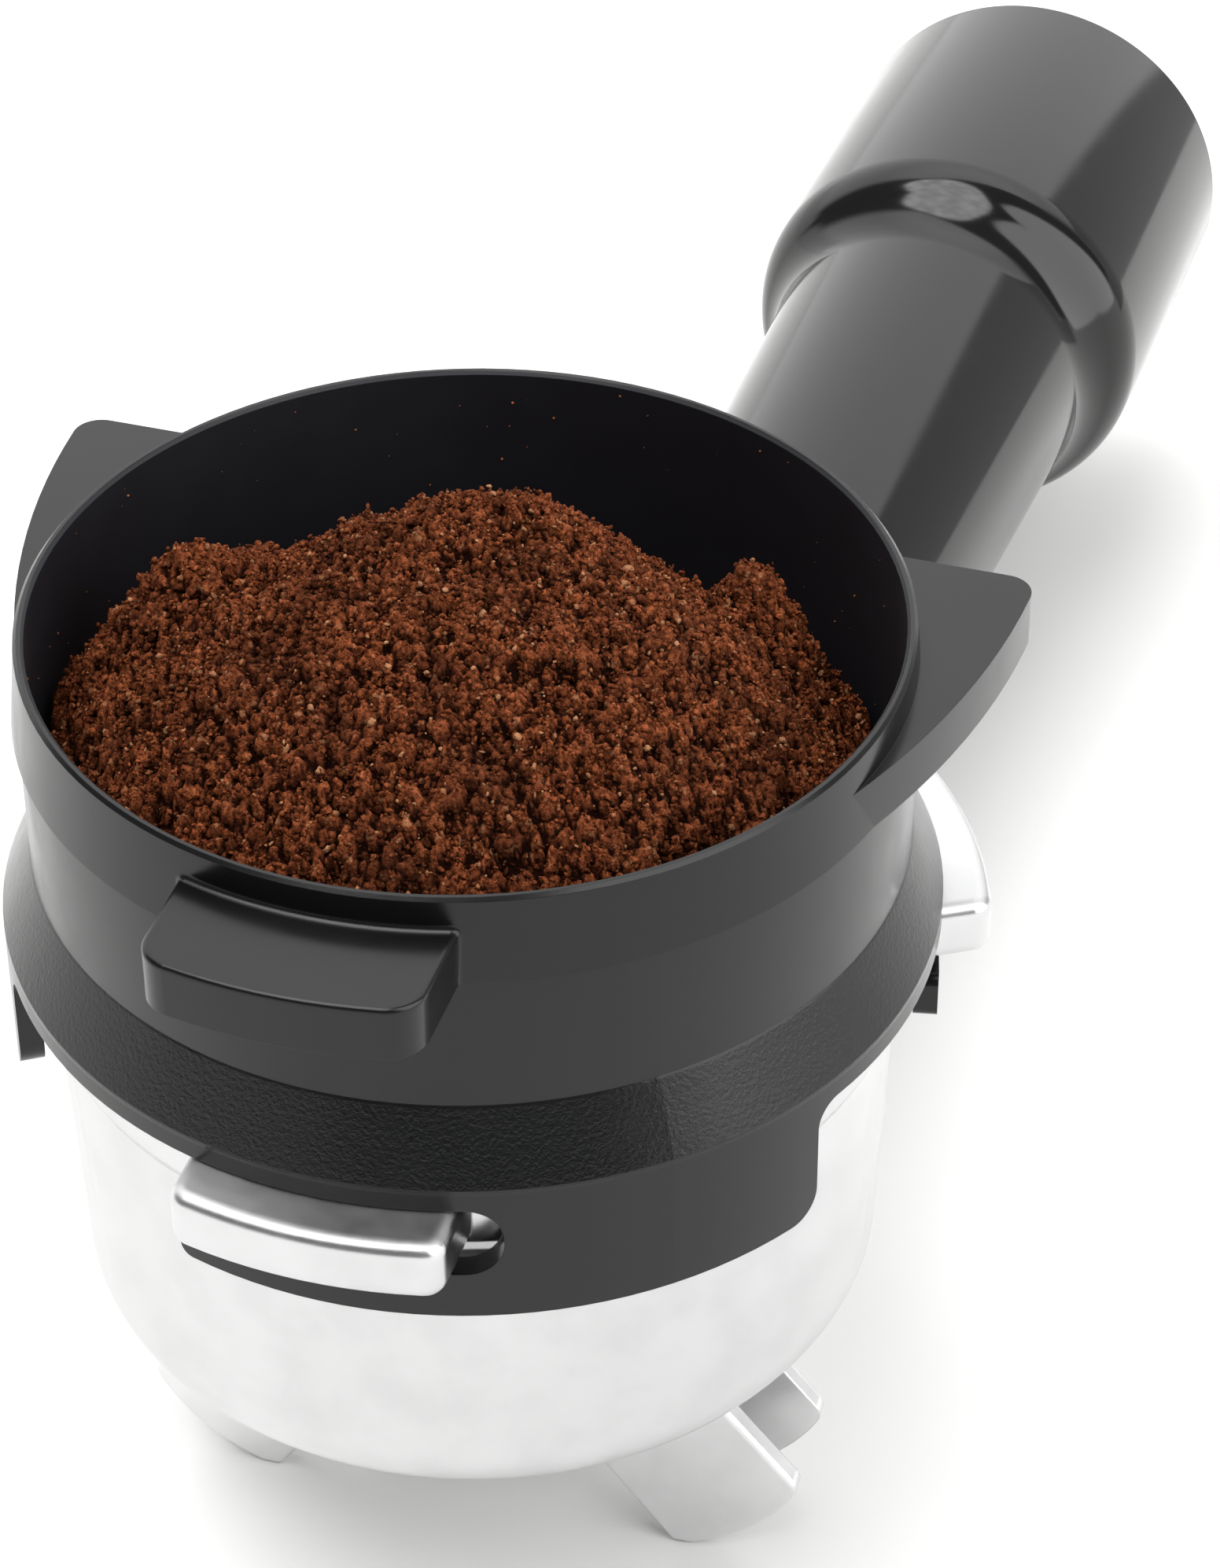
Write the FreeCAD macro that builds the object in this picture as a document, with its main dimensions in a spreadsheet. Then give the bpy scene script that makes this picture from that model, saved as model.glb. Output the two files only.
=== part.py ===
"""Espresso portafilter with a lock-on dosing funnel, as a parametric assembly.

Frame: +Z up along the axis of the head, +X towards the handle, origin on that
axis at the level of the tops of the three bayonet lugs. All sizes are in mm.
"""
import FreeCAD, Part
import math
import os
import re

import Sketcher
from FreeCAD import Placement, Rotation, Vector

DIMENSIONS = {
    # head casting
    "head_rim_r": 31.2, "head_rim_z": 1.7, "head_shoulder_r": 30.6, "head_shoulder_z": -6.0,
    "bowl_low_r": 29.65, "bowl_low_z": -27.8, "bowl_corner_r": 4.0, "bowl_corner_angle": 76.0,
    "boss_r": 12.0, "boss_top_z": -35.2, "boss_face_z": -40.0,
    "bore_r": 27.2, "bore_end_z": -24.0, "floor_r": 24.0, "floor_edge_z": -28.4, "floor_z": -32.6,
    "groove_r": 28.0, "groove_z": -5.0, "groove_height": 1.5,
    "lug_r": 37.2, "lug_width": 19.4, "lug_height": 4.7, "lug_count": 3.0, "lug_root_r": 28.8,
    "lug_edge_r": 1.1, "lug_corner_r": 1.6,
    "outlet_r": 2.2, "outlet_y": 7.4, "spout_thread_r": 2.5, "spout_thread_depth": 5.6,
    # arm and handle, along the handle's own axis
    "handle_turn": -2.0, "handle_z": -28.95, "arm_start": 12.0, "arm_end": 42.0,
    "arm_root_r": 10.4, "arm_end_r": 12.1, "rod_r": 3.95, "rod_clear_r": 4.3,
    "rod_socket_start": 28.6, "rod_end": 142.0,
    "ring_width": 0.8, "ring_r": 12.1, "pin_r": 1.45, "pin_hole_r": 1.6, "pin_offset": 7.6,
    "pin_start": 37.0, "pin_end": 47.0,
    "neck_start": 42.8, "neck_start_r": 12.25, "neck_end": 118.6, "neck_end_r": 15.0,
    "neck_cavity_r": 9.5, "neck_cavity_start": 48.0, "neck_cavity_end": 117.0,
    "hollow_blend_r": 8.0, "round_blend_r": 6.0, "blend_angle": 42.0,
    "grip_r": 18.6, "grip_end": 159.6, "grip_chamfer": 0.4,
    "grip_cavity_r": 15.6, "grip_cavity_start": 128.0, "cap_seat_r": 16.9, "cap_seat": 156.4,
    "cap_gap": 0.1, "cap_skirt_r": 15.4, "cap_skirt_wall": 1.6, "cap_skirt_depth": 7.0,
    "washer_r": 8.0, "washer_width": 1.6, "spring_washer_r": 6.9, "spring_washer_width": 2.0,
    "nut_flats": 13.0, "nut_width": 6.5,
    # spout casting that forms the feet
    "spout_turn": 2.4, "spout_width": 10.0, "channel_width": 6.8, "gasket_width": 0.8,
    "plate_width": 2.0, "nose_round": 1.3, "foot_round": 0.7, "wall_round": 0.45,
    "ear_y": 12.5, "ear_low_z": -36.0, "ear_top_y": 14.4, "ear_top_z": -35.8,
    "nose_y": 26.1, "nose_z": -50.0, "nose_arc_r": 15.5, "foot_out_y": 17.5, "foot_in_y": 16.1,
    "floor_level": -58.3, "hub_y": 8.2, "hub_z": -48.0, "hub_half": 4.2, "trough_wall": 1.5,
    "trough_end_y": 13.0, "spout_hole_r": 2.7, "counterbore_r": 4.6, "counterbore_depth": 3.0,
    "screw_r": 2.45, "screw_head_r": 4.3, "screw_head": 2.7, "screw_top_z": -34.8, "screw_hex": 4.0,
    # filter basket and its retaining spring
    "basket_r": 26.4, "basket_wall": 0.8, "basket_low_z": -24.0, "basket_corner_r": 3.0,
    "basket_rim_r": 30.0, "basket_rim": 1.2, "filter_hole_r": 0.7, "filter_ring_step": 4.4,
    "spring_centre_r": 27.3, "spring_wire_r": 0.55, "spring_sweep": 325.0,
    # ground coffee
    "grounds_r": 25.4, "grounds_low_z": -23.0, "grounds_neck_r": 28.0, "grounds_neck_z": 3.4,
    "grounds_wide_r": 29.7, "grounds_wide_z": 9.0, "heap_mid_r": 20.0, "heap_mid_z": 21.0,
    "heap_top_r": 9.0, "heap_top_z": 27.5, "heap_peak_z": 29.5,
    # dosing funnel
    "funnel_rim_r": 31.0, "funnel_rim_z": 24.8, "rim_round": 0.25, "mouth_r": 30.25,
    "band_r": 31.6, "band_z": 18.3, "barrel_r": 31.2, "barrel_z": 7.5, "cone_end_z": 6.6,
    "flange_r": 33.57, "flange_z": 2.0, "flange_low_z": 0.2, "ledge_r": 28.5, "ledge_z": 3.2,
    "skirt_r": 33.57, "skirt_in_r": 31.8, "skirt_z": -9.4,
    "gap_start": 242.8, "gap_angle": 38.7, "slot_start": 161.5, "slot_angle": 40.4,
    "slot_low_z": -5.6, "slot_end_r": 2.7, "skirt_root_r": 2.0, "skirt_corner_r": 2.4,
    "arm_corner_r": 1.0, "funnel_seam": 222.0,
    "tab_top_z": 22.4, "front_tab_r": 39.15, "front_tab_width": 19.1, "tab_corner_r": 2.7,
    "tab_root_r": 1.6, "front_root_r": 0.5, "tab_edge_r": 0.4, "tab_inner_r": 30.8,
    "side_tab_x": 18.4, "side_tab_tip_y": 36.0,
    "side_tab_end_x": -9.6, "side_tab_arc_r": 66.0, "side_tab_corner_r": 2.0,
}

SEAM_EPS = 0.05         # how close a point must be to count as the place looked for

doc = FreeCAD.newDocument("Portafilter")
sheet = doc.addObject("Spreadsheet::Sheet", "Dims")
parts = {}


def fill_sheet():
    """Write every driving dimension to the sheet under its own alias."""
    for row, (name, number) in enumerate(DIMENSIONS.items(), start=1):
        sheet.set(f"A{row}", name)
        sheet.set(f"B{row}", str(number))
        sheet.setAlias(f"B{row}", name)
    doc.recompute()


def linked(expression):
    """The expression with each dimension's name turned into a link to the sheet."""
    def link(match):
        word = match.group()
        return f"Dims.{word}" if word in DIMENSIONS else word
    return re.sub(r"[A-Za-z_]\w*", link, str(expression))


def value(expression):
    """The number that an expression of sheet dimensions has now."""
    return float(sheet.evalExpression(linked(expression)))


# ---------------------------------------------------------------- sketches and features

def new_body(label):
    """A body whose label is also the name of its file."""
    body = doc.addObject("PartDesign::Body", label)
    body.Label = label
    parts[label] = body
    return body


def origin_part(body, role):
    """One of the body's own origin planes or axes."""
    for feature in body.Origin.OriginFeatures:
        if feature.Role == role:
            return feature
    raise ValueError(role)


def new_sketch(body, role, name):
    sketch = body.newObject("Sketcher::SketchObject", name)
    sketch.AttachmentSupport = [(origin_part(body, role), "")]
    sketch.MapMode = "FlatFace"
    return sketch


def pin_point(sketch, geometry, end, corner):
    """Tie one end of an edge to its two driving expressions."""
    for kind, expression in zip(("DistanceX", "DistanceY"), corner):
        index = sketch.addConstraint(Sketcher.Constraint(kind, -1, 1, geometry, end, value(expression)))
        sketch.setExpression(f"Constraints[{index}]", linked(expression))


def add_arc(sketch, start, finish, radius, clockwise):
    """A minor arc from start to finish; gives its index and which end is its start."""
    chord = finish - start
    middle = (start + finish) * 0.5
    rise = math.sqrt(max(value(radius) ** 2 - chord.Length ** 2 / 4.0, 0.0))
    side = Vector(chord.y, -chord.x, 0) if clockwise else Vector(-chord.y, chord.x, 0)
    side.normalize()
    centre = middle + side * rise
    begin, end = (finish, start) if clockwise else (start, finish)
    first = math.atan2(begin.y - centre.y, begin.x - centre.x)
    last = math.atan2(end.y - centre.y, end.x - centre.x)
    circle = Part.Circle(centre, Vector(0, 0, 1), value(radius))
    index = sketch.addGeometry(Part.ArcOfCircle(circle, first, last), False)
    limit = sketch.addConstraint(Sketcher.Constraint("Radius", index, value(radius)))
    sketch.setExpression(f"Constraints[{limit}]", linked(radius))
    return (index, 2, 1) if clockwise else (index, 1, 2)


def outline(sketch, corners):
    """Draw a closed outline. A corner is (x, y) or (x, y, radius, "cw" or "ccw"),
    where the radius and turn belong to the arc that leaves that corner."""
    points = [Vector(value(corner[0]), value(corner[1]), 0) for corner in corners]
    ends = []
    for number, corner in enumerate(corners):
        start = points[number]
        finish = points[(number + 1) % len(points)]
        if len(corner) == 4:
            ends.append(add_arc(sketch, start, finish, corner[2], corner[3] == "cw"))
        else:
            ends.append((sketch.addGeometry(Part.LineSegment(start, finish), False), 1, 2))
    for number, (index, first, last) in enumerate(ends):
        follower = ends[(number + 1) % len(ends)]
        sketch.addConstraint(Sketcher.Constraint("Coincident", index, last, follower[0], follower[1]))
    for (index, first, last), corner in zip(ends, corners):
        pin_point(sketch, index, first, corner[:2])


def circle(sketch, x, y, radius):
    index = sketch.addGeometry(Part.Circle(Vector(value(x), value(y), 0), Vector(0, 0, 1), value(radius)), False)
    pin_point(sketch, index, 3, (x, y))
    limit = sketch.addConstraint(Sketcher.Constraint("Radius", index, value(radius)))
    sketch.setExpression(f"Constraints[{limit}]", linked(radius))


def revolve(body, name, corners, start="0", angle="360", kind="Revolution"):
    """Turn an (r, z) outline about the body's Z axis, from one angle through another."""
    sketch = new_sketch(body, "XZ_Plane", name + "_sketch")
    outline(sketch, corners)
    sketch.AttachmentOffset = Placement(Vector(), Rotation(Vector(0, 1, 0), value(start)))
    sketch.setExpression("AttachmentOffset.Rotation.Angle", linked(start))
    feature = body.newObject("PartDesign::" + kind, name)
    feature.Profile = sketch
    feature.ReferenceAxis = (origin_part(body, "Z_Axis"), [""])
    feature.setExpression("Angle", linked(angle))
    return feature


def extrude(body, name, sketch, length, kind="Pad", symmetric=False, backwards=False):
    feature = body.newObject("PartDesign::" + kind, name)
    feature.Profile = sketch
    feature.Midplane = symmetric
    feature.Reversed = backwards
    feature.setExpression("Length", linked(length))
    return feature


def raise_sketch(sketch, height):
    """Lift a sketch off its plane along the plane's normal."""
    sketch.setExpression("AttachmentOffset.Base.z", linked(height))


def turn_sketch(sketch, angle):
    """Turn an upright sketch about the body's Z axis."""
    sketch.AttachmentOffset = Placement(Vector(), Rotation(Vector(0, 1, 0), value(angle)))
    sketch.setExpression("AttachmentOffset.Rotation.Angle", linked(angle))


def pattern(body, name, feature, count, angle="360"):
    """Repeat a feature round the body's Z axis."""
    polar = body.newObject("PartDesign::PolarPattern", name)
    polar.Originals = [feature]
    polar.Axis = (origin_part(body, "Z_Axis"), [""])
    polar.setExpression("Angle", linked(angle))
    polar.setExpression("Occurrences", linked(count))
    body.Tip = polar
    doc.recompute()
    return polar


def edges_where(shape, test):
    """Names of the edges whose middle point and shape pass a test."""
    names = []
    for number, edge in enumerate(shape.Edges, start=1):
        middle = edge.valueAt((edge.FirstParameter + edge.LastParameter) / 2.0)
        if test(edge, middle):
            names.append(f"Edge{number}")
    return names


def round_edges(body, name, test, radius, kind="Fillet"):
    """Round the edges of the body's tip that pass a test."""
    doc.recompute()
    tip = body.Tip
    names = edges_where(tip.Shape, test)
    if not names:
        raise ValueError(f"{name}: no edge found")
    feature = body.newObject("PartDesign::" + kind, name)
    feature.Base = (tip, names)
    feature.setExpression("Radius" if kind == "Fillet" else "Size", linked(radius))
    doc.recompute()
    return feature


def polar_angle(point):
    return math.degrees(math.atan2(point.y, point.x)) % 360.0


def near(first, second, room=SEAM_EPS):
    return abs(first - second) < room


# ---------------------------------------------------------------- head

def cylinder_cut(body, name, radius, start, end, offset="0"):
    """A round hole along the handle's axis, offset upwards from it."""
    hole = body.newObject("PartDesign::SubtractiveCylinder", name)
    hole.setExpression("Radius", linked(radius))
    hole.setExpression("Height", linked(f"({end}) - ({start})"))
    place_on_handle(hole, start, offset)
    return hole


def place_on_handle(thing, start, offset="0"):
    """Put a shape made along Z on the handle's axis, a distance from the head's axis."""
    turn = value("handle_turn")
    along = Rotation(Vector(0, 0, 1), turn).multVec(Vector(1, 0, 0))
    rotation = Rotation(Vector(0, 0, 1), turn).multiply(Rotation(Vector(0, 1, 0), 90))
    thing.Placement = Placement(along * value(start), rotation)
    thing.setExpression("Placement.Base.x", linked(f"cos(handle_turn) * ({start})"))
    thing.setExpression("Placement.Base.y", linked(f"sin(handle_turn) * ({start})"))
    thing.setExpression("Placement.Base.z", linked(f"handle_z + ({offset})"))


def make_head():
    """The polished casting: bowl, three lugs, arm for the handle and boss for the spout."""
    body = new_body("head_body")
    corner_end_r = "bowl_low_r - bowl_corner_r + bowl_corner_r * cos(bowl_corner_angle)"
    corner_end_z = "bowl_low_z - bowl_corner_r * sin(bowl_corner_angle)"
    revolve(body, "bowl_outside", [
        ("0", "head_rim_z"), ("0", "boss_face_z"), ("boss_r", "boss_face_z"), ("boss_r", "boss_top_z"),
        (corner_end_r, corner_end_z, "bowl_corner_r", "ccw"), ("bowl_low_r", "bowl_low_z"),
        ("head_shoulder_r", "head_shoulder_z"), ("head_rim_r", "head_shoulder_z + 1.2"),
        ("head_rim_r", "head_rim_z")])
    arm = body.newObject("PartDesign::AdditiveCone", "arm")
    arm.setExpression("Radius1", linked("arm_root_r"))
    arm.setExpression("Radius2", linked("arm_end_r"))
    arm.setExpression("Height", linked("arm_end - arm_start"))
    place_on_handle(arm, "arm_start")
    doc.recompute()
    blend_arm(body)
    add_lugs(body)
    revolve(body, "bowl_inside", [
        ("0", "floor_z"), ("floor_r", "floor_edge_z"), ("bore_r", "bore_end_z"),
        ("bore_r", "head_rim_z + 1"), ("0", "head_rim_z + 1")], kind="Groove")
    revolve(body, "spring_groove", [
        ("bore_r - 1", "groove_z - groove_height / 2"), ("groove_r", "groove_z - groove_height / 2"),
        ("groove_r", "groove_z + groove_height / 2"), ("bore_r - 1", "groove_z + groove_height / 2")],
        kind="Groove")
    outlets = new_sketch(body, "XY_Plane", "outlets_sketch")
    raise_sketch(outlets, "boss_face_z - 1")
    for side in ("outlet_y", "-outlet_y"):
        circle(outlets, "0", side, "outlet_r")
    extrude(body, "outlets", outlets, "12", kind="Pocket", backwards=True)
    thread = new_sketch(body, "XY_Plane", "spout_thread_sketch")
    raise_sketch(thread, "boss_face_z - 1")
    circle(thread, "0", "0", "spout_thread_r")
    extrude(body, "spout_thread", thread, "spout_thread_depth + 1", kind="Pocket", backwards=True)
    cylinder_cut(body, "rod_socket", "rod_r + 0.05", "rod_socket_start", "arm_end + 1")
    cylinder_cut(body, "pin_socket", "pin_hole_r", "pin_start - 0.5", "arm_end + 1", "pin_offset")
    doc.recompute()


def blend_arm(body):
    """Round the crease between the bowl and the arm, which is a curve all round the arm."""
    rim = value("bowl_low_r")

    def crease(edge, middle):
        return middle.x > value("arm_start") + 1 and middle.x < rim + 1 and len(edge.Vertexes) >= 1 \
            and near(middle.y, middle.x * math.tan(math.radians(value("handle_turn"))), 13) \
            and not near(edge.BoundBox.ZLength, 0, 0.5)
    round_edges(body, "arm_blend", crease, "2.5")


def add_lugs(body):
    """Three bayonet lugs with parallel sides and a curved end, rounded where the hand meets them."""
    sketch = new_sketch(body, "XY_Plane", "lug_sketch")
    raise_sketch(sketch, "-lug_height")
    reach = "-sqrt(lug_r ^ 2 - lug_width ^ 2 / 4)"
    outline(sketch, [
        ("-lug_root_r", "-lug_width / 2"), ("-lug_root_r", "lug_width / 2"),
        (reach, "lug_width / 2", "lug_r", "ccw"), (reach, "-lug_width / 2")])
    lug = extrude(body, "lug", sketch, "lug_height")
    pattern(body, "lugs", lug, "lug_count")
    corner = math.hypot(value(reach), value("lug_width / 2"))

    def upright(edge, middle):
        radius = math.hypot(middle.x, middle.y)
        return near(radius, corner) and near(edge.BoundBox.ZLength, value("lug_height"), 0.2)
    round_edges(body, "lug_corners", upright, "lug_corner_r")

    def outer_edge(edge, middle):
        radius = math.hypot(middle.x, middle.y)
        level = near(middle.z, 0) or near(middle.z, -value("lug_height"))
        return level and radius > value("head_rim_r") + 0.6
    round_edges(body, "lug_edges", outer_edge, "lug_edge_r")


# ---------------------------------------------------------------- basket, spring and coffee

def make_basket():
    """The pressed filter basket, with rings of holes in its floor."""
    body = new_body("filter_basket")
    inner = "basket_r - basket_wall"
    revolve(body, "basket_shell", [
        ("0", "basket_low_z"),
        ("basket_r - basket_corner_r", "basket_low_z", "basket_corner_r", "ccw"),
        ("basket_r", "basket_low_z + basket_corner_r"), ("basket_r", "head_rim_z"),
        ("basket_rim_r", "head_rim_z"), ("basket_rim_r", "head_rim_z + basket_rim"),
        (inner, "head_rim_z + basket_rim"),
        (inner, "basket_low_z + basket_corner_r", "basket_corner_r - basket_wall", "cw"),
        ("basket_r - basket_corner_r", "basket_low_z + basket_wall"), ("0", "basket_low_z + basket_wall")])
    for ring in range(1, 6):
        sketch = new_sketch(body, "XY_Plane", f"hole_sketch_{ring}")
        raise_sketch(sketch, "basket_low_z - 1")
        circle(sketch, f"filter_ring_step * {ring}", "0", "filter_hole_r")
        hole = extrude(body, f"hole_{ring}", sketch, "3", kind="Pocket", backwards=True)
        pattern(body, f"hole_ring_{ring}", hole, str(6 * ring))


def make_spring():
    """The open wire ring that holds the basket in the head."""
    spring = doc.addObject("Part::Torus", "basket_spring")
    spring.Label = "basket_spring"
    spring.setExpression("Radius1", linked("spring_centre_r"))
    spring.setExpression("Radius2", linked("spring_wire_r"))
    spring.setExpression("Angle3", linked("spring_sweep"))
    spring.Placement = Placement(Vector(), Rotation(Vector(0, 0, 1), 200))
    spring.setExpression("Placement.Base.z", linked("groove_z"))
    parts["basket_spring"] = spring


def make_grounds():
    """The dose of ground coffee: it fills the basket and stands in a heap in the funnel."""
    body = new_body("coffee_grounds")
    revolve(body, "heap", [
        ("0", "grounds_low_z"), ("grounds_r - basket_corner_r", "grounds_low_z"),
        ("grounds_r", "grounds_low_z + basket_corner_r"), ("grounds_r", "head_rim_z + basket_rim + 0.2"),
        ("grounds_neck_r", "grounds_neck_z"), ("grounds_wide_r", "grounds_wide_z"),
        ("heap_mid_r", "heap_mid_z"), ("heap_top_r", "heap_top_z"), ("0", "heap_peak_z")])


# ---------------------------------------------------------------- spout

def make_spout():
    """The spout: two open troughs whose side walls run down to four feet."""
    body = new_body("spout")
    walls = new_sketch(body, "YZ_Plane", "walls_sketch")
    top = "boss_face_z - gasket_width"
    half = [
        ("ear_y", top), ("ear_y", "ear_low_z"), ("ear_top_y", "ear_top_z"),
        ("nose_y", "nose_z", "nose_arc_r", "cw"), ("foot_out_y", "floor_level"),
        ("foot_in_y", "floor_level"), ("hub_y", "hub_z")]
    mirrored = [
        ("-hub_y", "hub_z"), ("-foot_in_y", "floor_level"),
        ("-foot_out_y", "floor_level", "nose_arc_r", "cw"), ("-nose_y", "nose_z"),
        ("-ear_top_y", "ear_top_z"), ("-ear_y", "ear_low_z"), ("-ear_y", top)]
    outline(walls, half + mirrored)
    turn_sketch(walls, "spout_turn")
    extrude(body, "walls", walls, "spout_width", symmetric=True)
    round_walls(body)
    for side, name in ((1, "right"), (-1, "left")):
        channel = new_sketch(body, "YZ_Plane", f"channel_{name}_sketch")
        outline(channel, channel_outline(side))
        turn_sketch(channel, "spout_turn")
        extrude(body, f"channel_{name}", channel, "channel_width", kind="Pocket", symmetric=True)
    plate = new_sketch(body, "XY_Plane", "plate_sketch")
    raise_sketch(plate, top)
    circle(plate, "0", "0", "boss_r")
    extrude(body, "plate", plate, "plate_width", backwards=True)
    outlets = new_sketch(body, "XY_Plane", "spout_outlets_sketch")
    raise_sketch(outlets, f"{top} + 1")
    for y in ("outlet_y", "-outlet_y"):
        circle(outlets, "0", y, "outlet_r")
    extrude(body, "spout_outlets", outlets, "plate_width + 1.5", kind="Pocket")
    for name, radius, height in (("screw_hole", "spout_hole_r", f"{top} + 1"),
                                 ("counterbore", "counterbore_r", "hub_z + counterbore_depth")):
        hole = new_sketch(body, "XY_Plane", name + "_sketch")
        raise_sketch(hole, height)
        circle(hole, "0", "0", radius)
        extrude(body, name, hole, "12", kind="Pocket")


def channel_outline(side):
    """The hollow of one trough, open at its outer end and above its sloping floor."""
    lift = "trough_wall / cos(52.5)"
    slope = "(floor_level - hub_z) / (foot_in_y - hub_y)"
    floor_z = f"hub_z + {lift} * 1.3"
    end_z = f"hub_z + {lift} + ({slope}) * (trough_end_y - hub_y)"
    corners = [
        ("hub_half", "boss_face_z - gasket_width - plate_width + 0.5"), ("hub_half", floor_z),
        ("hub_y + 0.6", floor_z), ("trough_end_y", end_z), ("trough_end_y - 3", f"{end_z} - 3.2"),
        ("trough_end_y + 2", "floor_level - 3"), ("nose_y + 3", "floor_level - 3"),
        ("nose_y + 3", "ear_top_z + 2"), ("ear_y - 1", "ear_top_z + 2"),
        ("ear_y - 1", "boss_face_z - gasket_width - plate_width + 0.5")]
    return [(x if side > 0 else f"-({x})", z) for x, z in corners]


def round_walls(body):
    """Round the tips and feet of the spout's walls, then the outlines of their outer faces."""
    turn = Rotation(Vector(0, 0, 1), -value("spout_turn"))
    half_width = value("spout_width") / 2.0

    def corner_at(y, z):
        def test(edge, middle):
            across = edge.BoundBox.XLength > half_width
            own = turn.multVec(middle)
            return across and near(abs(own.y), value(y), SEAM_EPS) and near(own.z, value(z), SEAM_EPS)
        return test

    def outer_outline(edge, middle):
        own = turn.multVec(middle)
        return near(abs(own.x), half_width, SEAM_EPS) and own.z < value("ear_low_z") - SEAM_EPS

    round_edges(body, "nose_rounds", corner_at("nose_y", "nose_z"), "nose_round")
    round_edges(body, "foot_rounds", corner_at("foot_out_y", "floor_level"), "foot_round")
    round_edges(body, "wall_rounds", outer_outline, "wall_round")


def make_gasket():
    """The flat gasket between the bowl's boss and the spout."""
    body = new_body("spout_gasket")
    sketch = new_sketch(body, "XY_Plane", "gasket_sketch")
    raise_sketch(sketch, "boss_face_z")
    circle(sketch, "0", "0", "boss_r - 0.3")
    circle(sketch, "0", "0", "spout_hole_r")
    for y in ("outlet_y", "-outlet_y"):
        circle(sketch, "0", y, "outlet_r")
    extrude(body, "gasket", sketch, "gasket_width", backwards=True)


def make_spout_screw():
    """The socket screw that holds the spout to the bowl from below."""
    body = new_body("spout_screw")
    seat = "hub_z + counterbore_depth"
    revolve(body, "screw_turned", [
        ("0", "screw_top_z"), ("0", f"{seat} - screw_head"), ("screw_head_r - 0.4", f"{seat} - screw_head"),
        ("screw_head_r", f"{seat} - screw_head + 0.4"), ("screw_head_r", seat), ("screw_r", seat),
        ("screw_r", "screw_top_z - 0.6"), ("screw_r - 0.6", "screw_top_z")])
    socket = new_sketch(body, "XY_Plane", "socket_sketch")
    raise_sketch(socket, f"{seat} - screw_head - 1")
    outline(socket, hexagon("screw_hex"))
    extrude(body, "socket", socket, "2.6", kind="Pocket", backwards=True)


def hexagon(flats):
    """Corners of a regular hexagon from its width across flats."""
    return [(f"({flats}) / sqrt(3) * cos({60 * number})", f"({flats}) / sqrt(3) * sin({60 * number})")
            for number in range(6)]


# ---------------------------------------------------------------- dosing funnel

def make_funnel():
    """The dosing funnel: band, barrel, shoulder, skirt with bayonet slots, and three tabs."""
    body = new_body("dosing_funnel")
    revolve(body, "funnel_wall", [
        ("mouth_r", "funnel_rim_z - rim_round"), ("mouth_r", "cone_end_z"), ("ledge_r", "ledge_z"),
        ("skirt_in_r", "ledge_z"), ("skirt_in_r", "skirt_z"), ("skirt_r", "skirt_z"),
        ("flange_r", "flange_z"), ("barrel_r", "barrel_z"), ("barrel_r", "band_z"), ("band_r", "band_z"),
        ("funnel_rim_r", "funnel_rim_z - rim_round"),
        ("funnel_rim_r - rim_round", "funnel_rim_z"), ("mouth_r + rim_round", "funnel_rim_z")],
        start="funnel_seam")
    add_tabs(body)
    cut_skirt(body, "gap", "gap_start", "gap_angle", "skirt_z - 1")
    cut_skirt(body, "slot", "slot_start", "slot_angle", "slot_low_z")
    round_skirt(body)


def cut_skirt(body, name, start, angle, low):
    """Cut one window in the skirt below the flange and repeat it for each lug."""
    cut = revolve(body, name, [
        ("skirt_in_r - 0.7", "flange_low_z"), ("skirt_in_r - 0.7", low),
        ("skirt_r + 1", low), ("skirt_r + 1", "flange_low_z")], start, angle, "Groove")
    doc.recompute()
    pattern(body, name + "s", cut, "lug_count")


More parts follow.
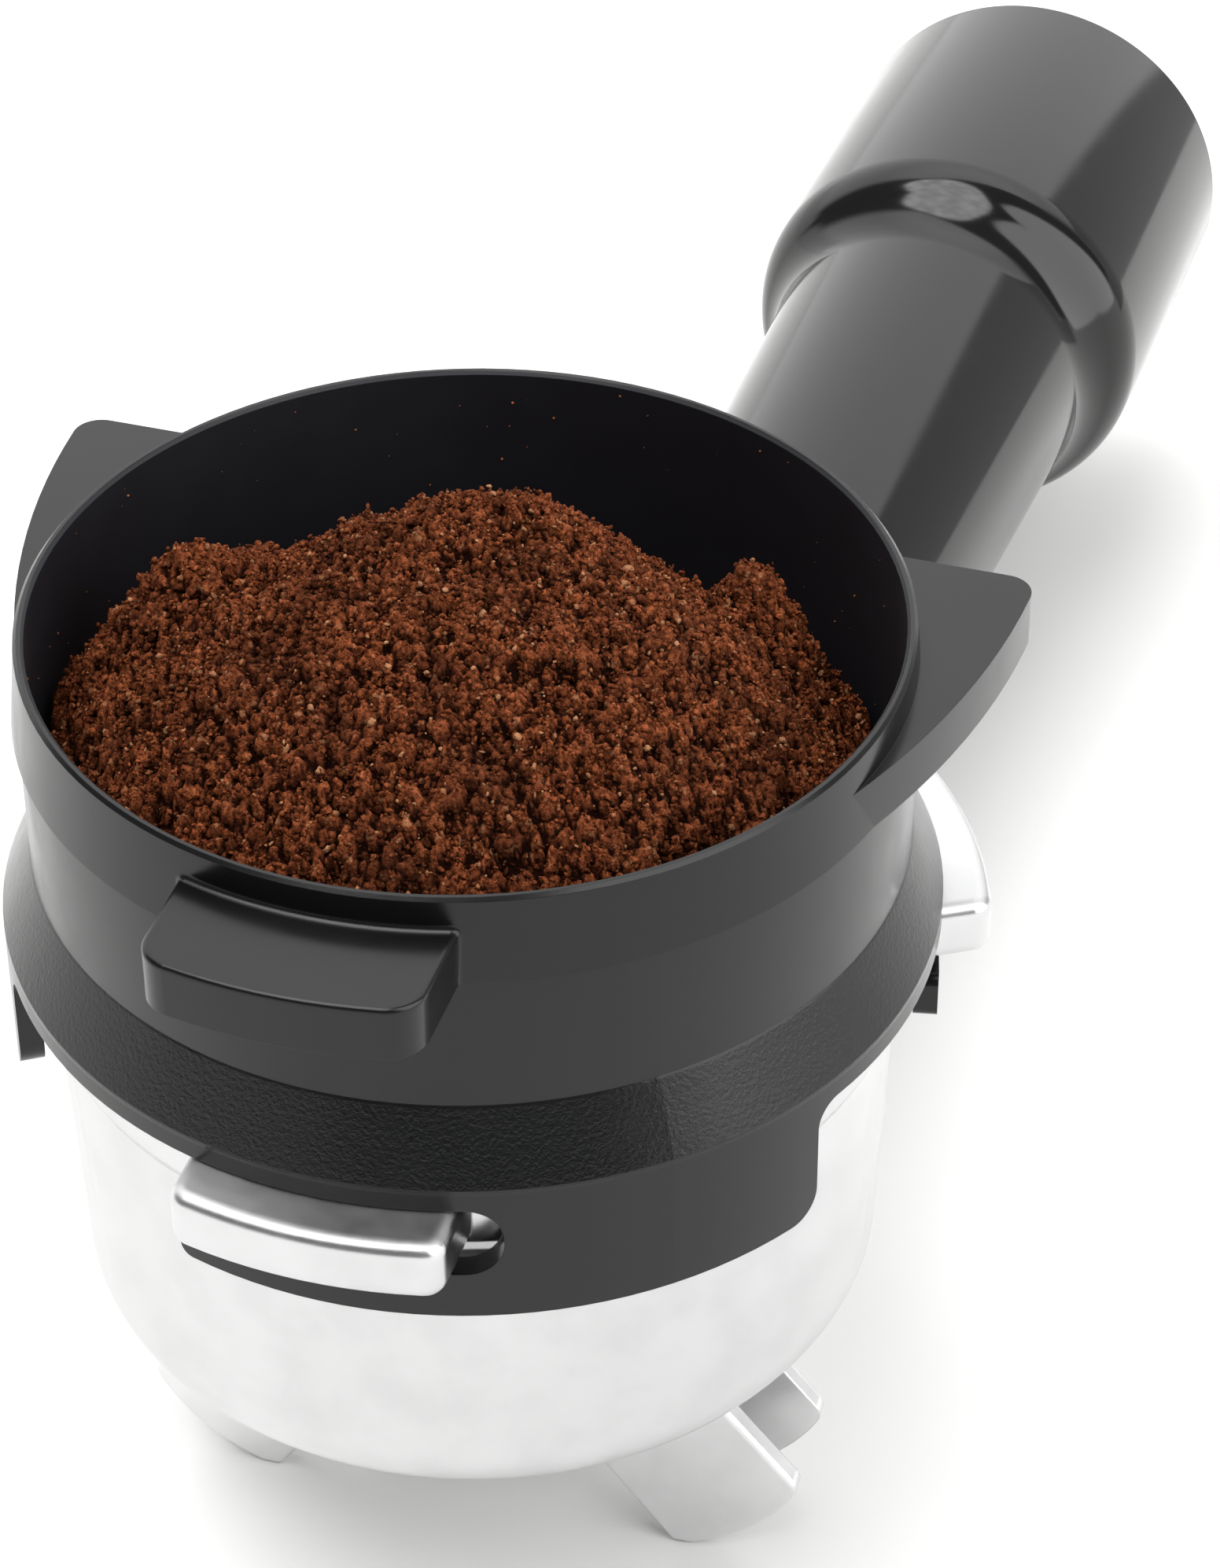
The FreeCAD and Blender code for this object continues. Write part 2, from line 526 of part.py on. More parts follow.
def add_tabs(body):
    """One square tab opposite the handle and a mirrored pair of swept tabs at the sides."""
    front = new_sketch(body, "XY_Plane", "front_tab_sketch")
    raise_sketch(front, "band_z")
    reach = "-sqrt(front_tab_r ^ 2 - front_tab_width ^ 2 / 4)"
    root = "-sqrt(tab_inner_r ^ 2 - front_tab_width ^ 2 / 4)"
    outline(front, [
        (root, "-front_tab_width / 2", "tab_inner_r", "cw"), (root, "front_tab_width / 2"),
        (reach, "front_tab_width / 2", "front_tab_r", "ccw"), (reach, "-front_tab_width / 2")])
    extrude(body, "front_tab", front, "tab_top_z - band_z")
    for side, name in ((1, "left"), (-1, "right")):
        sketch = new_sketch(body, "XY_Plane", f"{name}_tab_sketch")
        raise_sketch(sketch, "band_z")
        outwards, inwards = ("ccw", "cw") if side > 0 else ("cw", "ccw")
        outline(sketch, [
            ("side_tab_x", f"{side} * sqrt(tab_inner_r ^ 2 - side_tab_x ^ 2)"),
            ("side_tab_x", f"{side} * side_tab_tip_y", "side_tab_arc_r", outwards),
            ("side_tab_end_x", f"{side} * (sqrt(band_r ^ 2 - side_tab_end_x ^ 2) - 0.5)"),
            ("side_tab_end_x + 2", f"{side} * sqrt(tab_inner_r ^ 2 - (side_tab_end_x + 2) ^ 2)",
             "tab_inner_r", inwards)])
        extrude(body, f"{name}_tab", sketch, "tab_top_z - band_z")
    doc.recompute()
    height = value("tab_top_z - band_z")

    def square_corner(edge, middle):
        return near(edge.BoundBox.ZLength, height) and near(math.hypot(middle.x, middle.y), value("front_tab_r"), 0.4) \
            and middle.x < -30
    round_edges(body, "front_corners", square_corner, "tab_corner_r")

    def swept_tip(edge, middle):
        return near(edge.BoundBox.ZLength, height) and near(middle.x, value("side_tab_x"), 0.2) \
            and abs(middle.y) > 33
    round_edges(body, "tip_corners", swept_tip, "side_tab_corner_r")

    def outer_rim(edge, middle):
        return near(middle.z, value("tab_top_z")) and edge.BoundBox.ZLength < SEAM_EPS \
            and math.hypot(middle.x, middle.y) > value("band_r") + 0.8 and middle.x < -30
    round_edges(body, "tab_edges", outer_rim, "tab_edge_r")

    def root(edge, middle):
        radius = math.hypot(middle.x, middle.y)
        upright = edge.BoundBox.ZLength > height - 0.6 and edge.BoundBox.XLength < 1.0
        return upright and radius < value("band_r") + 0.1 and radius > value("barrel_r")

    def side_root(edge, middle):
        return root(edge, middle) and near(middle.x, value("side_tab_x"), 0.3)
    round_edges(body, "tab_roots", side_root, "tab_root_r")

    def front_root(edge, middle):
        return root(edge, middle) and middle.x < -25
    round_edges(body, "front_roots", front_root, "front_root_r")


def round_skirt(body):
    """Round the closed slot ends, the free corners of the skirt and its roots at the flange."""
    closed = [(value("slot_start + slot_angle") + 120 * number) % 360 for number in range(3)]
    ends = [(value("gap_start") + 120 * number) % 360 for number in range(3)]
    starts = [(value("slot_start") + 120 * number) % 360 for number in range(3)]

    def radial(edge, middle, angles, level):
        radius = math.hypot(middle.x, middle.y)
        inside = value("skirt_in_r") - 0.1 < radius < value("skirt_r") + 0.1
        return inside and near(middle.z, level) and any(near(polar_angle(middle), a, 0.4) for a in angles)

    for name, angles, level, radius in (
            ("slot_ends_low", closed, "slot_low_z", "slot_end_r"),
            ("slot_ends_high", closed, "flange_low_z", "slot_end_r"),
            ("skirt_corners", ends, "skirt_z", "skirt_corner_r"),
            ("skirt_roots", ends, "flange_low_z", "skirt_root_r"),
            ("arm_corners", starts, "skirt_z", "arm_corner_r"),
            ("arm_tips", starts, "slot_low_z", "arm_corner_r")):
        round_edges(body, name, lambda edge, middle: radial(edge, middle, angles, value(level)), radius)


# ---------------------------------------------------------------- handle

def handle_part(label, corners):
    """A turned piece on the handle's axis: r outwards, then the distance from the head's axis."""
    body = new_body(label)
    revolve(body, label + "_turned", corners)
    place_on_handle(body, "0")
    return body


def pin_hole(body, start, end):
    """The hole for the index pin, above the handle's axis, in a part made along Z."""
    hole = body.newObject("PartDesign::SubtractiveCylinder", "pin_hole")
    hole.setExpression("Radius", linked("pin_hole_r"))
    hole.setExpression("Height", linked(f"({end}) - ({start})"))
    hole.Placement = Placement(Vector(-value("pin_offset"), 0, value(start)), Rotation())
    hole.setExpression("Placement.Base.x", linked("-pin_offset"))
    hole.setExpression("Placement.Base.z", linked(start))


def make_handle():
    """The moulded handle: tapering neck, a smooth double blend and the wider grip."""
    blend_r = "neck_end_r + hollow_blend_r * (1 - cos(blend_angle))"
    blend_z = "neck_end + hollow_blend_r * sin(blend_angle)"
    grip_start = f"{blend_z} + round_blend_r * sin(blend_angle)"
    body = handle_part("handle_body", [
        ("rod_clear_r", "neck_start"), ("neck_start_r", "neck_start"),
        ("neck_end_r", "neck_end", "hollow_blend_r", "cw"), (blend_r, blend_z, "round_blend_r", "ccw"),
        ("grip_r", grip_start), ("grip_r", "grip_end - grip_chamfer"),
        ("grip_r - grip_chamfer", "grip_end"), ("cap_seat_r", "grip_end"), ("cap_seat_r", "cap_seat"),
        ("grip_cavity_r", "cap_seat"), ("grip_cavity_r", "grip_cavity_start"),
        ("rod_clear_r", "grip_cavity_start"), ("rod_clear_r", "neck_cavity_end"),
        ("neck_cavity_r", "neck_cavity_end"), ("neck_cavity_r", "neck_cavity_start"),
        ("rod_clear_r", "neck_cavity_start")])
    pin_hole(body, "neck_start - 1", "neck_cavity_start + 1")
    ring = handle_part("neck_ring", [
        ("rod_clear_r", "arm_end"), ("ring_r", "arm_end"),
        ("ring_r", "arm_end + ring_width"), ("rod_clear_r", "arm_end + ring_width")])
    pin_hole(ring, "arm_end - 1", "arm_end + ring_width + 1")
    handle_part("handle_rod", [
        ("0", "rod_socket_start + 0.6"), ("rod_r - 0.8", "rod_socket_start + 0.6"),
        ("rod_r", "rod_socket_start + 1.4"), ("rod_r", "rod_end - 0.8"), ("rod_r - 0.8", "rod_end"),
        ("0", "rod_end")])
    handle_part("handle_washer", flat_ring("rod_clear_r", "washer_r", "grip_cavity_start", "washer_width"))
    after = "grip_cavity_start + washer_width"
    handle_part("spring_washer", flat_ring("rod_clear_r", "spring_washer_r", after, "spring_washer_width"))
    split_washer(parts["spring_washer"], after)
    make_nut(f"{after} + spring_washer_width")
    make_cap()
    make_index_pin()


def flat_ring(inner, outer, start, width):
    end = f"{start} + {width}"
    return [(inner, start), (outer, start), (outer, end), (inner, end)]


def split_washer(body, start):
    """Cut the slit of the spring washer."""
    sketch = new_sketch(body, "XY_Plane", "slit_sketch")
    raise_sketch(sketch, f"{start} - 1")
    outline(sketch, [("0", "-0.7"), ("spring_washer_r + 1", "-0.7"), ("spring_washer_r + 1", "0.7"), ("0", "0.7")])
    extrude(body, "slit", sketch, "spring_washer_width + 2", kind="Pocket", backwards=True)


def make_nut(start):
    """The hexagon nut that clamps the handle on its rod."""
    body = new_body("handle_nut")
    sketch = new_sketch(body, "XY_Plane", "nut_sketch")
    raise_sketch(sketch, start)
    outline(sketch, hexagon("nut_flats"))
    circle(sketch, "0", "0", "rod_r + 0.05")
    extrude(body, "nut", sketch, "nut_width")
    place_on_handle(body, "0")


def make_cap():
    """The end cap that snaps into the grip."""
    handle_part("end_cap", [
        ("0", "cap_seat + 0.2"), ("cap_skirt_r - cap_skirt_wall", "cap_seat + 0.2"),
        ("cap_skirt_r - cap_skirt_wall", "cap_seat - cap_skirt_depth"),
        ("cap_skirt_r", "cap_seat - cap_skirt_depth"), ("cap_skirt_r", "cap_seat + 0.2"),
        ("cap_seat_r - cap_gap", "cap_seat + 0.2"), ("cap_seat_r - cap_gap", "grip_end - 0.5"),
        ("cap_seat_r - cap_gap - 0.4", "grip_end - 0.1"), ("0", "grip_end - 0.1")])


def make_index_pin():
    """The pin that stops the handle from turning on the arm."""
    pin = doc.addObject("Part::Cylinder", "index_pin")
    pin.Label = "index_pin"
    pin.setExpression("Radius", linked("pin_r"))
    pin.setExpression("Height", linked("pin_end - pin_start"))
    place_on_handle(pin, "pin_start", "pin_offset")
    parts["index_pin"] = pin


# ---------------------------------------------------------------- build and export

def check_and_export():
    """Stop on anything that failed, then write one file for each piece."""
    doc.recompute()
    for thing in doc.Objects:
        if any(word in thing.State for word in ("Invalid", "Error")):
            raise RuntimeError(f"{thing.Label} failed: {thing.State}")
    for label, thing in parts.items():
        shape = thing.Shape
        if shape.isNull() or not shape.isValid() or len(shape.Solids) != 1:
            raise RuntimeError(f"{label}: bad shape")
    os.makedirs("parts", exist_ok=True)
    for label, thing in parts.items():
        thing.Shape.exportStep(os.path.join("parts", label + ".step"))
        print(f"{label:16s} volume {thing.Shape.Volume / 1000.0:8.2f} cm3")


fill_sheet()
make_head()
make_basket()
make_spring()
make_grounds()
make_spout()
make_gasket()
make_spout_screw()
make_funnel()
make_handle()
check_and_export()
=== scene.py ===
"""Looks for the espresso portafilter: camera, studio, materials, ground coffee and a finely turned handle."""
import math

import bmesh
import bpy
import numpy as np
from mathutils import Matrix, Vector


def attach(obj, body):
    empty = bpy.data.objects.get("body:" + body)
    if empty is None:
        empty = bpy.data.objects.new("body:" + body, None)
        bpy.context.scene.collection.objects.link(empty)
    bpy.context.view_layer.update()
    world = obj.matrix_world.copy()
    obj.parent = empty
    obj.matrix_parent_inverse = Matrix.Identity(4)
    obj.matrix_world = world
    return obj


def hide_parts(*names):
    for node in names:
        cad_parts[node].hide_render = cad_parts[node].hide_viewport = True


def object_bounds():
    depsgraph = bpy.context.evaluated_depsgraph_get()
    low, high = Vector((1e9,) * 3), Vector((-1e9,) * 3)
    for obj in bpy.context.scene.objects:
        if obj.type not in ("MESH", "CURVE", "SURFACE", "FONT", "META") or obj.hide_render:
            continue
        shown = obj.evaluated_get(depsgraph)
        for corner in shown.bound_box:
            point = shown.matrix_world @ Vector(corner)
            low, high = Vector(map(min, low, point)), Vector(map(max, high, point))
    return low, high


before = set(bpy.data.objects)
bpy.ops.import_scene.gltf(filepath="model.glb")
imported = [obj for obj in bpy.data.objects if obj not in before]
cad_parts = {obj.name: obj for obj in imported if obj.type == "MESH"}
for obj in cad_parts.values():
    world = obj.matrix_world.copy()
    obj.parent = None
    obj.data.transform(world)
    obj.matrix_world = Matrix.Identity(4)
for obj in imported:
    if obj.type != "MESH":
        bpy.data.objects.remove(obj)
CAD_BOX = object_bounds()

MM = 0.001

# The camera's place and direction in the part's own frame, in metres, and its lens and sensor in mm.
CAMERA_AT = Vector((-0.2405, -0.0861, 0.2093))
CAMERA_LOOK = Vector((0.7514, 0.2369, -0.6158)).normalized()
CAMERA_ROLL = math.radians(-0.37)
CAMERA_LENS = 105.38
SENSOR = 36.0

# Directions of the picture on the floor: to its right, and away from the viewer.
RIGHT = CAMERA_LOOK.cross(Vector((0, 0, 1))).normalized()
AWAY = Vector((CAMERA_LOOK.x, CAMERA_LOOK.y, 0)).normalized()


# ---------------------------------------------------------------- camera and studio

def put(name, data):
    """A new object in the scene, that holds the given mesh, camera or light."""
    made = bpy.data.objects.new(name, data)
    bpy.context.scene.collection.objects.link(made)
    return made


def make_camera():
    up = RIGHT.cross(CAMERA_LOOK)
    right = RIGHT * math.cos(CAMERA_ROLL) + up * math.sin(CAMERA_ROLL)
    up = right.cross(CAMERA_LOOK)
    data = bpy.data.cameras.new("camera")
    data.lens = CAMERA_LENS
    data.sensor_width = SENSOR
    data.sensor_fit = "AUTO"
    data.clip_start = 0.01
    data.clip_end = 20.0
    camera = put("camera", data)
    turn = Matrix((right, up, -CAMERA_LOOK)).transposed().to_4x4()
    camera.matrix_world = Matrix.Translation(CAMERA_AT) @ turn
    bpy.context.scene.camera = camera


def add(tree, kind, inputs=None, **settings):
    """A new node with its settings and inputs. An input is a constant or another node's socket."""
    made = tree.nodes.new(kind)
    for name, setting in settings.items():
        setattr(made, name, setting)
    for name, given in (inputs or {}).items():
        socket = made.inputs[name]
        if isinstance(given, bpy.types.NodeSocket):
            tree.links.new(given, socket)
        else:
            socket.default_value = given
    return made


def maths(tree, operation, first, second=None):
    """The result of a sum on one or two values, each a number or a socket."""
    inputs = {0: first}
    if second is not None:
        inputs[1] = second
    return add(tree, "ShaderNodeMath", inputs, operation=operation).outputs[0]


def ramp(tree, given, low, high, to_low=0.0, to_high=1.0, smooth=True):
    """Map a value from low..high to to_low..to_high, held at both ends."""
    kind = "SMOOTHSTEP" if smooth else "LINEAR"
    made = add(tree, "ShaderNodeMapRange", {
        "Value": given, "From Min": low, "From Max": high, "To Min": to_low, "To Max": to_high},
        interpolation_type=kind)
    return made.outputs["Result"]


def band(tree, given, low, high, edge):
    """1 between low and high, 0 outside, with soft edges."""
    rise = ramp(tree, given, low - edge, low + edge)
    fall = ramp(tree, given, high - edge, high + edge, 1.0, 0.0)
    return maths(tree, "MULTIPLY", rise, fall)


def blend_to(tree, given, level, amount):
    """The given value, moved to a level by an amount from 0 to 1."""
    change = maths(tree, "MULTIPLY", maths(tree, "SUBTRACT", level, given), amount)
    return maths(tree, "ADD", given, change)


def rounded(tree, first, second, place):
    """1 inside a shape with round corners, 0 outside. Its place is middle and half size, twice."""
    parts = []
    for given, middle, half in ((first, *place[:2]), (second, *place[2:])):
        offset = maths(tree, "DIVIDE", maths(tree, "SUBTRACT", given, middle), half)
        parts.append(maths(tree, "POWER", maths(tree, "ABSOLUTE", offset), 3.0))
    return ramp(tree, maths(tree, "ADD", parts[0], parts[1]), 0.75, 1.25, 1.0, 0.0)


# The studio round the object, as patches of its sky: azimuths from straight behind the camera,
# anticlockwise from above, and heights, in degrees; then how bright, and how soft the edge is.
TENT = 1.9                          # how bright the tent is low down, and at its zenith
ZENITH = 2.7
ZENITH_FROM, ZENITH_TO = 40, 65     # heights between which the tent brightens to its zenith
PATCHES = (
    (-117, 108, -90, 72, 0.25, 7.0),    # the dark room on the camera's side
    (108, 138, -90, 29, 0.66, 1.2),     # a gap in the tent, at the back on the right
    (86, 108, -90, 6, 1.05, 4.0),       # pale things low down round the room
    (52, 86, -90, 6, 1.60, 4.0),
    (-62, -30, -90, 6, 0.80, 4.0),
    (-108, -78, -90, 6, 0.85, 4.0),
    (-150, -108, -90, 12, 1.40, 4.0),
)
# the dark ceiling overhead, in reaches per unit of height: towards the camera from the first to the
# second, and to the camera's right from the third to the fourth
CEILING = (-0.22, 0.90, -0.80, 0.80)
CEILING_EDGE = 0.04
OVERHEAD = (0.45, 0.55)             # sines of the heights between which ceiling and skylight begin
LEAST_RISE = 0.05                   # keeps the reach per unit of height finite near the horizon
DARK = 0.25
# round-cornered windows: middle and half size along each axis, then how bright
SKYLIGHT = (0.26, 0.44, -0.33, 0.39, 6.0)      # in reaches per unit of height
SIDE_WINDOW = (72, 29, 32, 38, 3.8)             # azimuth and height in degrees
SIDE_WINDOW_SLANT = 0.4                         # how far its azimuth falls as its height rises
CLOUD_SCALE = 11.0                              # the skylight's clouds, and how dim and bright they are
CLOUD_LEVELS = (0.72, 1.22)


def make_world():
    """A bright tent behind the object, and a dark room with two windows on the camera's side."""
    world = bpy.data.worlds.new("studio")
    bpy.context.scene.world = world
    world.use_nodes = True
    tree = world.node_tree
    tree.nodes.clear()
    where = add(tree, "ShaderNodeTexCoord").outputs["Generated"]
    # azimuth measured from the direction straight behind the camera, so that no patch crosses its seam
    towards = math.atan2(-AWAY.y, -AWAY.x)
    turned = add(tree, "ShaderNodeVectorRotate", {"Vector": where, "Angle": -towards},
                 rotation_type="Z_AXIS").outputs[0]
    axis = add(tree, "ShaderNodeSeparateXYZ", {0: turned}).outputs
    azimuth = maths(tree, "ARCTAN2", axis["Y"], axis["X"])
    height = maths(tree, "ARCSINE", axis["Z"])
    degrees = math.radians(1)
    strength = ramp(tree, height, ZENITH_FROM * degrees, ZENITH_TO * degrees, TENT, ZENITH)
    for start, end, low, high, level, edge in PATCHES:
        across = band(tree, azimuth, start * degrees, end * degrees, edge * degrees)
        upright = band(tree, height, low * degrees, high * degrees, edge * degrees)
        patch = maths(tree, "MULTIPLY", across, upright)
        strength = blend_to(tree, strength, level, patch)
    risen = maths(tree, "MAXIMUM", axis["Z"], LEAST_RISE)
    towards_camera = maths(tree, "DIVIDE", axis["X"], risen)
    rightwards = maths(tree, "DIVIDE", axis["Y"], risen)
    overhead = ramp(tree, axis["Z"], *OVERHEAD)
    ceiling = maths(tree, "MULTIPLY", band(tree, towards_camera, *CEILING[:2], CEILING_EDGE),
                    band(tree, rightwards, *CEILING[2:], CEILING_EDGE))
    strength = blend_to(tree, strength, DARK, maths(tree, "MULTIPLY", ceiling, overhead))
    clouds = ramp(tree, grain(tree, turned, CLOUD_SCALE, 2.0), 0.3, 0.7, *CLOUD_LEVELS)
    pane = maths(tree, "MULTIPLY", rounded(tree, towards_camera, rightwards, SKYLIGHT[:4]), overhead)
    strength = blend_to(tree, strength, maths(tree, "MULTIPLY", clouds, SKYLIGHT[4]), pane)
    place = [part * degrees for part in SIDE_WINDOW[:4]]
    slanted = maths(tree, "ADD", azimuth, maths(tree, "MULTIPLY", height, SIDE_WINDOW_SLANT))
    strength = blend_to(tree, strength, SIDE_WINDOW[4], rounded(tree, slanted, height, place))
    background = add(tree, "ShaderNodeBackground", {"Color": (1.0, 1.0, 1.0, 1.0), "Strength": strength})
    output = add(tree, "ShaderNodeOutputWorld", {"Surface": background.outputs[0]})
    output.is_active_output = True


FLOOR_LEVEL = CAD_BOX[0][2]
FLOOR_REACH = 6.0
FLOOR_COLOUR = (0.70, 0.70, 0.693, 1)
KEY_AT = -RIGHT * 0.60 + AWAY * 0.45 + Vector((0, 0, 1.20))
KEY_SIZE = 0.80
KEY_POWER = 4.0


def make_studio():
    """A pale floor under the feet, and one soft light from the left that lays the shadows to the right."""
    mesh = bpy.data.meshes.new("studio_floor")
    signs = ((-1, -1), (1, -1), (1, 1), (-1, 1))
    corners = [(x * FLOOR_REACH, y * FLOOR_REACH, FLOOR_LEVEL) for x, y in signs]
    mesh.from_pydata(corners, [], [(0, 1, 2, 3)])
    floor = put("studio_floor", mesh)
    material, _, shader = new_material("pale_floor")
    shader.inputs["Base Color"].default_value = FLOOR_COLOUR
    shader.inputs["Roughness"].default_value = 0.75
    shader.inputs["Specular IOR Level"].default_value = 0.2
    mesh.materials.append(material)
    make_card()
    add_light("key", KEY_AT, KEY_SIZE, KEY_POWER)


CARD_TURN = math.radians(125)       # from straight behind the camera, anticlockwise from above
CARD_FROM = 0.115                   # along +X, the point below the handle that it stands away from
CARD_AWAY = 0.26
CARD_SIZE = (0.26, 0.06)
CARD_LEVEL = 0.66


def make_card():
    """A grey card on the floor past the handle, seen by reflections only, under the gap in the tent."""
    outwards = math.sin(CARD_TURN) * RIGHT - math.cos(CARD_TURN) * AWAY
    along = outwards.cross(Vector((0, 0, 1))) * CARD_SIZE[0] / 2
    foot = Vector((CARD_FROM, 0, FLOOR_LEVEL)) + outwards * CARD_AWAY
    top = Vector((0, 0, CARD_SIZE[1]))
    corners = [foot - along, foot + along, foot + along + top, foot - along + top]
    mesh = bpy.data.meshes.new("studio_card")
    mesh.from_pydata(corners, [], [(0, 1, 2, 3)])
    card = put("studio_card", mesh)
    material, _, shader = new_material("grey_card")
    shader.inputs["Base Color"].default_value = (0, 0, 0, 1)
    shader.inputs["Specular IOR Level"].default_value = 0.0
    shader.inputs["Emission Color"].default_value = (1, 1, 1, 1)
    shader.inputs["Emission Strength"].default_value = CARD_LEVEL
    mesh.materials.append(material)
    card.visible_camera = False
    card.visible_diffuse = False
    card.visible_shadow = False
    card.visible_transmission = False


def add_light(name, at, size, power):
    """A round, slightly warm light that faces the origin and shows in no reflection."""
    data = bpy.data.lights.new(name, "AREA")
    data.shape = "DISK"
    data.size = size
    data.energy = power
    data.color = (1.0, 0.985, 0.965)
    light = put(name, data)
    light.location = at
    light.rotation_euler = (Vector((0, 0, 0)) - at).to_track_quat("-Z", "Y").to_euler()
    light.visible_glossy = False


# ---------------------------------------------------------------- materials

def new_material(name):
    """A new material, with its node tree and its shader."""
    material = bpy.data.materials.new(name)
    material.use_nodes = True
    tree = material.node_tree
    return material, tree, tree.nodes["Principled BSDF"]


def grain(tree, where, scale, detail=2.0, roughness=0.5, stretch=None):
    """Noise whose features are about 1 / scale metres across."""
    if stretch is not None:
        where = add(tree, "ShaderNodeMapping", {"Vector": where, "Scale": stretch}).outputs[0]
    return add(tree, "ShaderNodeTexNoise", {
        "Vector": where, "Scale": scale, "Detail": detail, "Roughness": roughness}).outputs["Fac"]


def bump(tree, height, distance, strength=1.0, under=None):
    """A normal that shows the height as relief, on top of another normal where one is given."""
    inputs = {"Height": height, "Distance": distance, "Strength": strength}
    if under is not None:
        inputs["Normal"] = under
    return add(tree, "ShaderNodeBump", inputs).outputs["Normal"]


def soft_edges(tree, radius):
    """A normal that rounds the moulded or tumbled edges a little."""
    return add(tree, "ShaderNodeBevel", {"Radius": radius}, samples=4).outputs["Normal"]


def mix_colours(tree, amount, first, second):
    """The first colour, moved to the second by an amount from 0 to 1."""
    made = add(tree, "ShaderNodeMix", {"Factor": amount}, data_type="RGBA")
    for name, given in (("A", first), ("B", second)):
        socket = next(s for s in made.inputs if s.name == name and s.type == "RGBA")
        if isinstance(given, bpy.types.NodeSocket):
            tree.links.new(given, socket)
        else:
            socket.default_value = given
    return next(s for s in made.outputs if s.type == "RGBA")


def object_place(tree):
    """Where a point lies in the part's frame, in metres."""
    return add(tree, "ShaderNodeTexCoord").outputs["Object"]


SHOULDER = (1.7 * MM, 7.4 * MM)     # heights between which the funnel slopes and is textured
INNER_WALL = 30.45 * MM             # what is nearer to the axis than this is the inside of the funnel


def funnel_material():
    """Black moulded plastic: satin walls, and a spark-eroded texture on the sloping shoulder."""
    material, tree, shader = new_material("funnel_plastic")
    where = object_place(tree)
    place = add(tree, "ShaderNodeSeparateXYZ", {0: where}).outputs
    on_shoulder = band(tree, place["Z"], *SHOULDER, 0.15 * MM)
    level = add(tree, "ShaderNodeCombineXYZ", {"X": place["X"], "Y": place["Y"]}).outputs[0]
    from_axis = add(tree, "ShaderNodeVectorMath", {0: level}, operation="LENGTH").outputs["Value"]
    inside = maths(tree, "LESS_THAN", from_axis, INNER_WALL)
    cloud = grain(tree, where, 90.0, 3.0)
    colour = mix_colours(tree, cloud, (0.0022, 0.0023, 0.0026, 1), (0.0042, 0.0042, 0.0046, 1))
    # painted sheen: the inside of the funnel is coloured a lighter, bluer black than the outside, standing in
    # for the light its wall reflects
    colour = mix_colours(tree, inside, colour, (0.0062, 0.0068, 0.0095, 1))
    tree.links.new(colour, shader.inputs["Base Color"])
    smooth = ramp(tree, grain(tree, where, 260.0, 4.0), 0.3, 0.7, 0.19, 0.26, smooth=False)
    rough = maths(tree, "SUBTRACT", smooth, maths(tree, "MULTIPLY", on_shoulder, 0.05))
    rough = maths(tree, "ADD", rough, maths(tree, "MULTIPLY", inside, 0.30))
    tree.links.new(rough, shader.inputs["Roughness"])
    fine = grain(tree, where, 5200.0, 2.0, 0.6)
    base = bump(tree, fine, 0.006 * MM, 0.5, soft_edges(tree, 0.07 * MM))
    textured = maths(tree, "MULTIPLY", grain(tree, where, 2900.0, 3.0, 0.65), on_shoulder)
    tree.links.new(bump(tree, textured, 0.038 * MM, 0.9, base), shader.inputs["Normal"])
    shader.inputs["Specular IOR Level"].default_value = 0.34
    return material


def handle_material():
    """Black thermoset, polished by the mould and by hands."""
    material, tree, shader = new_material("handle_plastic")
    where = object_place(tree)
    cloud = grain(tree, where, 45.0, 4.0)
    colour = mix_colours(tree, cloud, (0.0022, 0.0021, 0.0022, 1), (0.0050, 0.0046, 0.0045, 1))
    tree.links.new(colour, shader.inputs["Base Color"])
    smudges = grain(tree, where, 120.0, 5.0, 0.6, (0.6, 1.0, 1.0))
    tree.links.new(ramp(tree, smudges, 0.35, 0.7, 0.07, 0.13), shader.inputs["Roughness"])
    flow = grain(tree, where, 160.0, 2.0, 0.5, (0.35, 1.0, 1.0))
    fine = grain(tree, where, 3000.0, 2.0)
    base = bump(tree, flow, 0.010 * MM, 0.25)
    tree.links.new(bump(tree, fine, 0.002 * MM, 0.3, base), shader.inputs["Normal"])
    shader.inputs["Specular IOR Level"].default_value = 0.42
    return material


LUG_TOP = (-0.5 * MM, -0.1 * MM)    # heights between which the duller tops of the lugs begin


def aluminium_material(name, tint, rough_low, rough_high, wave, scratches):
    """Tumbled and polished casting: bright, slightly wavy, with faint cloudy wear and hairlines."""
    material, tree, shader = new_material(name)
    where = object_place(tree)
    cloud = grain(tree, where, 210.0, 4.0, 0.6)
    dull = tuple(0.92 * c for c in tint) + (1,)
    colour = mix_colours(tree, ramp(tree, cloud, 0.30, 0.66), dull, tint + (1,))
    tree.links.new(colour, shader.inputs["Base Color"])
    shader.inputs["Metallic"].default_value = 1.0
    wear = grain(tree, where, 420.0, 3.0, 0.55)
    level = add(tree, "ShaderNodeSeparateXYZ", {0: where}).outputs["Z"]
    lug_top = ramp(tree, level, *LUG_TOP)
    rough = ramp(tree, wear, 0.3, 0.7, rough_low, rough_high)
    rough = maths(tree, "ADD", rough, maths(tree, "MULTIPLY", lug_top, 0.25))
    tree.links.new(rough, shader.inputs["Roughness"])
    hair = grain(tree, where, 2600.0, 1.0, 0.5, (0.12, 0.12, 1.0))
    normal = bump(tree, grain(tree, where, 110.0, 1.0), wave, 0.5, soft_edges(tree, 0.25 * MM))
    normal = bump(tree, hair, 0.004 * MM, scratches, normal)
    tree.links.new(bump(tree, wear, 0.002 * MM, 0.3, normal), shader.inputs["Normal"])
    return material


